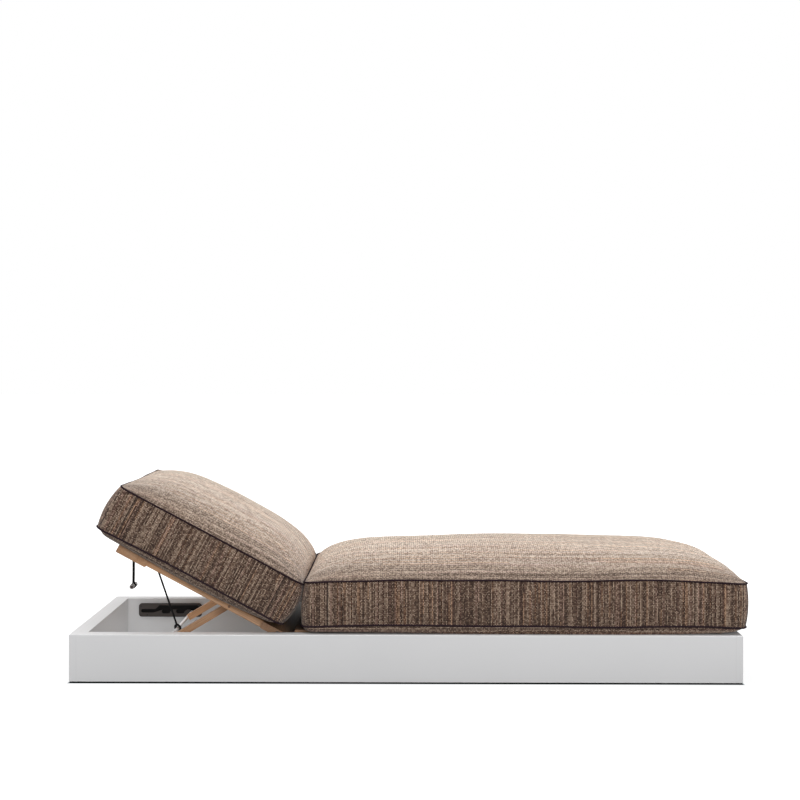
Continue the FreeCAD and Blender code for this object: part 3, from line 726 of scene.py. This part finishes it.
def weave_map(piece, spec, regions, flat):
    """Lays the weave on the cover in metres, along and across the yarn, and marks the band joints and the
    tops' painted light.
    """
    head, foot = spec["ends"]
    halfway = (head + foot) / 2
    line_x = np.linspace(head - PLAN_MARGIN, foot + PLAN_MARGIN, 400)
    line_y = np.linspace(-0.41, 0.41, 200)
    arc_x = arc_lengths(line_x, crown_height(spec, line_x, line_x * 0))
    arc_y = arc_lengths(line_y, crown_height(spec, line_y * 0 + halfway, line_y))
    mesh = piece.data
    weave = np.zeros((len(mesh.loops), 2), np.float32)
    joint = np.full((len(mesh.loops), 2), FAR_FROM_JOINT, np.float32)
    shade = np.zeros(len(mesh.loops), np.float32)
    for polygon, region in zip(mesh.polygons, regions):
        corners = flat[list(polygon.vertices)]
        loops = list(polygon.loop_indices)
        if region in ("top", "bottom"):
            u, v = np.interp(corners[:, 0], line_x, arc_x), np.interp(corners[:, 1], line_y, arc_y)
        else:
            middle = corners.mean(0)
            from_end = min(middle[0] - head, foot - middle[0])
            on_side = HALF_WIDTH - abs(middle[1]) < from_end
            u = corners[:, 2]
            if on_side:
                v = corners[:, 0] + SIDE_YARNS_APART * np.sign(middle[1])
            else:
                v = corners[:, 1] + END_YARNS_APART * np.sign(middle[0] - halfway)
            if region == "skirt":
                u, v = v, u + SKIRT_YARNS_APART
            elif on_side:
                gaps = np.stack([corners[:, 0] - place for place in spec["band_joints"]])
                nearest = gaps[np.argmin(np.abs(gaps.mean(1)))]
                joint[loops, 0] = np.clip(nearest, -FAR_FROM_JOINT, FAR_FROM_JOINT)
        weave[loops] = np.stack([u, v], 1)
        # Painted light: the tops are lighter toward their middle and darker toward the side seams, where
        # they turn away from the light. The band, skirt and bottom take little or none of the lit copy.
        if region == "top":
            shade[loops] = SEAM_SHARE + (1 - SEAM_SHARE) * side_rise(corners[:, 1]) ** SHADE_POWER
        else:
            shade[loops] = {"bottom": 0.2, "band": 0.0, "skirt": 0.04}[region]
    mesh.uv_layers.new(name="weave").data.foreach_set("uv", weave.ravel())
    mesh.uv_layers.new(name="joints").data.foreach_set("uv", joint.ravel())
    mesh.attributes.new("is_top", "FLOAT", "CORNER").data.foreach_set("value", shade)


def seam_line(line, head, sunk=0.0):
    """A seam ring, moved out by the piping's stand, or sunk in the cloth across the head end."""
    at_head = np.clip((head + 0.012 - line[:, 0]) / 0.006, 0, 1)
    uneven = 0.85 + 0.5 * wave(line[:, 1], 4, 0.5)
    outward = PIPING_OUT - sunk * at_head * uneven
    along = np.roll(line, -1, 0) - np.roll(line, 1, 0)
    side = np.stack([along[:, 1], -along[:, 0], along[:, 0] * 0], 1)
    side /= np.linalg.norm(side, axis=1)[:, None]
    return line + side * outward[:, None]


def make_cushion(spec, raised):
    """A cushion's cover and the piping of its two seams, laid flat or raised with the backrest."""
    flat, faces, regions, rings = build_cushion(spec)
    cover = new_object(spec["name"], flat, faces)
    top_seam, low_seam = rings[0], rings[BAND_ROWS]
    free = {i for face, kind in zip(faces, regions) if kind in ("top", "band") for i in face}
    fixed = set(range(len(flat))) - free
    settle(cover, sorted(fixed | set(top_seam) | set(low_seam)))
    points = np.array([v.co for v in cover.data.vertices])
    weave_map(cover, spec, regions, flat)
    place = raise_up if raised else (lambda p: p)
    head = spec["ends"][0]
    seams = {"top": seam_line(points[top_seam], head, spec["sunk_seam"]),
             "low": seam_line(points[low_seam], head)}
    cover.data.vertices.foreach_set("co", place(points).astype(np.float32).ravel())
    creases = cover.data.attributes.new("crease_edge", "FLOAT", "EDGE")
    sewn = set()
    for ids in (top_seam, low_seam):
        sewn |= {frozenset(pair) for pair in zip(ids, ids[1:] + ids[:1])}
    creases.data.foreach_set("value", [0.8 if frozenset(e.vertices) in sewn else 0.0
                                       for e in cover.data.edges])
    refine = cover.modifiers.new("Refine", "SUBSURF")
    refine.levels = 1
    refine.render_levels = 1
    apply_modifier(cover, refine)
    smooth(cover, 75)
    dress(cover, CLOTH)
    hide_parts(spec["node"])
    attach(cover, spec["body"])
    for level, line in seams.items():
        piping = tube(spec["node"] + "_piping_" + level, place(line), PIPING_RADIUS, closed=True, around=1)
        dress(piping, PIPING)
        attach(piping, spec["body"])


make_cushion(SEAT, raised=False)
make_cushion(BACK, raised=True)


# Release line. The cord runs straight from the eyelet under the head plank to the hitch on the rod.

ROD_LOW, ROD_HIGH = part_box("prop_rod")
ROD = Vector(((ROD_LOW.x + ROD_HIGH.x) / 2, 0, (ROD_LOW.z + ROD_HIGH.z) / 2))
EYE_LOW, EYE_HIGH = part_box("cord_eyelet")
CORD_RADIUS = 0.0032
INSIDE_EYELET = 0.004
ROD_RADIUS = 0.0055
ROD_WRAP = ROD_RADIUS + CORD_RADIUS
HITCH_CROSSING = ROD_WRAP + 1.5 * CORD_RADIUS


def path_tube(name, points, around=4):
    return tube(name, [tuple(p) for p in points], CORD_RADIUS, sides=16, around=around)


eyelet_middle = (EYE_LOW + EYE_HIGH) / 2
CORD_TOP = Vector((eyelet_middle.x, 0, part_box("release_cord")[1].z + INSIDE_EYELET))
CORD_RUN = (CORD_TOP - ROD).normalized()
ACROSS = Vector((CORD_RUN.z, 0, -CORD_RUN.x))
SIDEWAYS = Vector((0, 1, 0))


def round_the_rod(degrees, radius, along):
    """A point of the cord round the rod: its angle from the standing part, its radius and place along."""
    angle = math.radians(degrees)
    return ROD + (CORD_RUN * math.cos(angle) + ACROSS * math.sin(angle)) * radius + SIDEWAYS * along


def make_hitch():
    """A clove hitch: two turns, the second crossed over the first and tucked, with a short tail."""
    side = CORD_RADIUS * 1.1
    stations = [(0, ROD_WRAP + 0.004, -side), (-30, ROD_WRAP, -side)]
    stations += [(-30 * k, ROD_WRAP, -side) for k in range(2, 10)]
    stations += [(-315, ROD_WRAP + 0.002, -side), (-352, HITCH_CROSSING, -side * 0.6),
                 (-388, HITCH_CROSSING, side * 0.6), (-425, ROD_WRAP + 0.002, side)]
    stations += [(-30 * k, ROD_WRAP, side) for k in range(15, 22)]
    stations += [(-680, ROD_WRAP, side * 0.8), (-705, ROD_WRAP + 0.001, side * 0.2),
                 (-722, ROD_WRAP + 0.006, side * 0.9), (-728, ROD_WRAP + 0.012, side * 2.4)]
    hitch = path_tube("rod_hitch", [round_the_rod(*station) for station in stations])
    dress(hitch, BRAID)
    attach(hitch, "prop")
    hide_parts("cord_knot")
    return hitch


def make_cord(hitch):
    """The straight run, from inside the eyelet to the hitch."""
    foot = ROD + CORD_RUN * ROD_WRAP
    run = CORD_TOP - foot
    route = [CORD_TOP, CORD_TOP - run * 0.2, foot + run * 0.2, foot]
    piece = path_tube("release_cord_braid", route, around=16)
    dress(piece, BRAID)
    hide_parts("release_cord")
    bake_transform(piece)


make_cord(make_hitch())


# Pull strap: two plies of webbing, folded over at the top and looped round the bar

STRAP_THICKNESS = 0.0019
STRAP_HALF_WIDTH = 0.0099
STRAP_COLUMNS = 7
PLY_STAND = 0.0018
PLY_BOW = 0.0008
LOOP_RADIUS = 0.0079
LOOP_TOP = 0.010
STITCH_HALF_SIZE = (0.0006, 0.0011, 0.0004)
BLOCK_FACES = ((0, 1, 3, 2), (4, 6, 7, 5), (0, 4, 5, 1), (2, 3, 7, 6), (0, 2, 6, 4), (1, 5, 7, 3))


def strip_along(name, line, half_width, thickness):
    """A flat strap through points of an XZ line, as wide as given across Y."""
    points, faces = [], []
    for x, z in line:
        points += [(x, y, z) for y in np.linspace(-half_width, half_width, STRAP_COLUMNS)]
    for k in range(len(line) - 1):
        for j in range(STRAP_COLUMNS - 1):
            near = STRAP_COLUMNS * k + j
            faces.append([near, near + 1, near + STRAP_COLUMNS + 1, near + STRAP_COLUMNS])
    piece = new_object(name, points, faces)
    wall = piece.modifiers.new("Thickness", "SOLIDIFY")
    wall.thickness = thickness
    wall.offset = 0.0
    apply_modifier(piece, wall)
    edge = piece.modifiers.new("Edges", "BEVEL")
    edge.width = thickness * 0.3
    edge.segments = 2
    edge.limit_method = "ANGLE"
    apply_modifier(piece, edge)
    smooth(piece, 50)
    return piece


def make_strap():
    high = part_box("pull_strap")[1]
    bar_low, bar_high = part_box("pull_bar")
    x, z = (bar_low.x + bar_high.x) / 2, (bar_low.z + bar_high.z) / 2
    top = high.z - 0.0014

    def ply(side, shares):
        """One ply's points, by how far down from the fold each one lies."""
        return [(x + side * PLY_STAND + PLY_BOW * math.sin(math.pi * share),
                 top - (top - z - LOOP_TOP) * share) for share in shares]

    line = ply(-1, [k / 12 for k in range(13)])
    for k in range(17):
        angle = math.radians(115 + 310 * k / 16)
        line.append((x + LOOP_RADIUS * math.cos(angle), z + LOOP_RADIUS * math.sin(angle)))
    line += ply(1, [1 - k / 12 for k in range(13)])
    strap = strip_along("pull_strap_webbing", line, STRAP_HALF_WIDTH, STRAP_THICKNESS)
    dress(strap, WEBBING)
    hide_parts("pull_strap")
    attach(strap, "pull")
    points, faces = [], []
    for height in (z + 0.0165, z + 0.0215, top - 0.007):
        for side in (-1, 1):
            for k in range(6):
                middle = (x + side * 0.0024, -0.0075 + 0.003 * k, height)
                faces += [[len(points) + i for i in face] for face in BLOCK_FACES]
                points += [tuple(m + sign * half for m, sign, half in zip(middle, corner, STITCH_HALF_SIZE))
                           for corner in itertools.product((-1, 1), repeat=3)]
    thread = new_object("strap_stitches", points, faces)
    round_off = thread.modifiers.new("Round", "BEVEL")
    round_off.width = 0.0003
    round_off.segments = 2
    apply_modifier(thread, round_off)
    smooth(thread, 60)
    dress(thread, WEBBING)
    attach(thread, "pull")


make_strap()


# Small hardware. Each piece comes in pairs, at the front and at the back.

SIDES = ((-1, "front"), (1, "back"))
BRACKET_FACE = 0.346


def turned_head(name, place, radius, height, toward, socket=0.0, dome=0.35):
    """A round head with its flat back at a place, its face looking toward, and perhaps a socket."""
    bpy.ops.object.select_all(action="DESELECT")
    bpy.ops.mesh.primitive_cylinder_add(vertices=24, radius=radius, depth=height,
                                        location=(0, 0, height / 2))
    head = bpy.context.active_object
    head.name = name
    bpy.ops.object.mode_set(mode="EDIT")
    bpy.ops.mesh.select_mode(type="FACE")
    bpy.ops.mesh.select_all(action="DESELECT")
    bpy.ops.object.mode_set(mode="OBJECT")
    for face in head.data.polygons:
        face.select = face.normal.z > 0.9
    bpy.ops.object.mode_set(mode="EDIT")
    bpy.ops.mesh.inset(thickness=radius * 0.28, depth=height * dome)
    if socket:
        bpy.ops.mesh.inset(thickness=radius * 0.72 - socket, depth=height * 0.05)
        bpy.ops.mesh.inset(thickness=socket * 0.08, depth=-height * 0.7)
    bpy.ops.object.mode_set(mode="OBJECT")
    edge = head.modifiers.new("Edge", "BEVEL")
    edge.width = min(radius, height) * 0.12
    edge.segments = 2
    edge.limit_method = "ANGLE"
    apply_modifier(head, edge)
    turn = Vector(toward).to_track_quat("Z", "Y").to_matrix().to_4x4()
    head.data.transform(Matrix.Translation(Vector(place)) @ turn)
    head.location = (0, 0, 0)
    smooth(head, 40)
    return head


def make_bar_ends():
    """Dark caps that close the pull bar's ends and stand a little proud of it."""
    low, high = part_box("pull_bar")
    middle = (low + high) / 2
    for side, name in SIDES:
        place = (middle.x, side * (high.y - 0.0030), middle.z)
        cap = turned_head("bar_end_cap_" + name, place, 0.0080, 0.0042, (0, side, 0), dome=0.2)
        dress(cap, BROWN_PLASTIC)
        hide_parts("bar_caps")
        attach(cap, "pull")


def make_axle_plugs():
    """Teak plugs, a shade darker, that close the axle holes in the outer slats."""
    low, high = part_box("back_slats")
    for side, name in SIDES:
        face = low.y if side < 0 else high.y
        place = (PROP_PIVOT.x, face - side * 0.0002, PROP_PIVOT.z)
        plug = turned_head("axle_plug_" + name, place, 0.0042, 0.0012, (0, side, 0))
        dress(plug, PLUG_TEAK)
        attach(plug, "backrest")


def make_bracket_screws():
    for side, name in SIDES:
        low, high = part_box("pivot_bracket_" + name)
        for number, (along, up) in enumerate(((0.80, 0.28), (0.93, 0.28), (0.70, 0.72)), 1):
            place = (low.x + (high.x - low.x) * along, side * BRACKET_FACE, low.z + (high.z - low.z) * up)
            label = "bracket_screw_%s_%d" % (name, number)
            screw = turned_head(label, place, 0.0045, 0.0022, (0, -side, 0), 0.0016)
            dress(screw, DULL_STEEL)
            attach(screw, "base")


def make_plate_screws():
    for side, name in SIDES:
        low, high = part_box("notch_plate_" + name)
        places = ((low.x + 0.008, high.z - 0.010), (high.x - 0.009, high.z - 0.009),
                  (low.x + 0.030, low.z + 0.007), (high.x - 0.009, low.z + 0.009))
        for number, (x, z) in enumerate(places, 1):
            label = "plate_screw_%s_%d" % (name, number)
            screw = turned_head(label, (x, side * PLATE_FACE, z), 0.0032, 0.0010, (0, -side, 0), 0.0012)
            dress(screw, BLACK_PLASTIC)
            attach(screw, "base")


make_bar_ends()
make_axle_plugs()
make_bracket_screws()
make_plate_screws()


# Camera, lamps and floor

CAMERA_PLACE = Vector((0.0012, -5.2635, 1.0051))
CAMERA_YAW = math.radians(0.34)
CAMERA_PITCH = math.radians(1.42)
CAMERA_ROLL = math.radians(-0.07)
camera_data = bpy.data.cameras.new("camera")
camera_data.sensor_width = 36.0
camera_data.lens = 70.6
camera = bpy.data.objects.new("camera", camera_data)
bpy.context.scene.collection.objects.link(camera)
aim = Matrix.Rotation(CAMERA_YAW, 3, "Z") @ Matrix.Rotation(-CAMERA_PITCH, 3, "X")
aim = aim @ Matrix.Rotation(CAMERA_ROLL, 3, "Y") @ Matrix.Rotation(math.radians(90), 3, "X")
camera.matrix_world = Matrix.Translation(CAMERA_PLACE) @ aim.to_4x4()
bpy.context.scene.camera = camera


def broad_lamp(name, toward, spread, strength):
    """A far, broad lamp that lights the whole floor evenly."""
    data = bpy.data.lights.new(name, "SUN")
    data.energy = strength * math.pi
    data.angle = math.radians(spread)
    lamp = bpy.data.objects.new(name, data)
    bpy.context.scene.collection.objects.link(lamp)
    lamp.rotation_euler = Vector(toward).to_track_quat("-Z", "Y").to_euler()


PLINTH_HALF_LENGTH = 1.05
PLINTH_HALF_WIDTH = 0.40
SKY = 0.40
FLOOR_TONE = 0.42
FLOOR_PAINTED_SHADE_BESIDE = 0.06
FLOOR_INSIDE = 0.90
INSIDE_GLOW = 0.20
OUTSIDE_GLOW = 0.95
broad_lamp("overhead", (0.12, 0.12, -1.0), 70, 0.60)
broad_lamp("front", (-0.42, 1.0, -0.27), 24, 0.40)

world = bpy.data.worlds.new("studio")
world.use_nodes = True
bpy.context.scene.world = world
sky = world.node_tree
background = sky.nodes["Background"]
rays = put(sky, "ShaderNodeLightPath").outputs
seen = math_node(sky, "MAXIMUM", rays["Is Camera Ray"], rays["Is Glossy Ray"])
seen = math_node(sky, "MAXIMUM", seen, rays["Is Transmission Ray"])
sky.links.new(map_range(sky, seen, to=(SKY, 1.0)), background.inputs["Strength"])
background.inputs["Color"].default_value = (1.0, 1.0, 1.0, 1.0)


def pale_floor():
    """A floor that looks white around the plinth and lights its inside, with painted shadow under its walls
    and painted shade beside them.
    """
    material, tree, shader = material_base("pale_floor")
    x, y, _ = axes(tree, stretched(tree, location=FROM_PLINTH_MIDDLE))
    beyond_ends = math_node(tree, "SUBTRACT", math_node(tree, "ABSOLUTE", x), PLINTH_HALF_LENGTH)
    beyond_sides = math_node(tree, "SUBTRACT", math_node(tree, "ABSOLUTE", y), PLINTH_HALF_WIDTH)
    beyond = math_node(tree, "MAXIMUM", beyond_ends, beyond_sides)
    outside = map_range(tree, beyond, (0.0005, 0.006))
    # Painted shadow: the floor under the walls is near black. The floor is also darker out to 0.6 m beside
    # the plinth, as painted shade that the lower walls see.
    painted_shadow_under_walls = map_range(tree, beyond, (-0.056, -0.052))
    away = map_range(tree, beyond, (0.05, 0.60))
    paper = noise(tree, stretched(tree, (2, 2, 2)))
    paper = ramp(tree, paper, [(0.3, (FLOOR_TONE - 0.01,) * 3), (0.7, (FLOOR_TONE,) * 3)])
    outer = mix_colour(tree, away, (FLOOR_PAINTED_SHADE_BESIDE,) * 3, paper)
    inner = mix_colour(tree, painted_shadow_under_walls, (FLOOR_INSIDE,) * 3, (0.02, 0.02, 0.02))
    in_view = put(tree, "ShaderNodeLightPath").outputs["Is Camera Ray"]
    outer_glow = math_node(tree, "MULTIPLY", in_view, math_node(tree, "MULTIPLY", outside, OUTSIDE_GLOW))
    inner_glow = math_node(tree, "MULTIPLY", math_node(tree, "SUBTRACT", 1.0, painted_shadow_under_walls), INSIDE_GLOW)
    feed(tree, shader, {
        "Base Color": mix_colour(tree, outside, inner, outer), "Roughness": 1.0, "Specular IOR Level": 0.0,
        "Emission Color": mix_colour(tree, outside, (0.78, 0.93, 1.0), (1.0, 1.0, 1.0)),
        "Emission Strength": math_node(tree, "ADD", outer_glow, inner_glow)})
    return material


floor = new_object("floor", [(-40, -40, 0), (40, -40, 0), (40, 40, 0), (-40, 40, 0)], [(0, 1, 2, 3)])
floor.data.materials.append(pale_floor())

bpy.context.scene.view_settings.view_transform = "Standard"
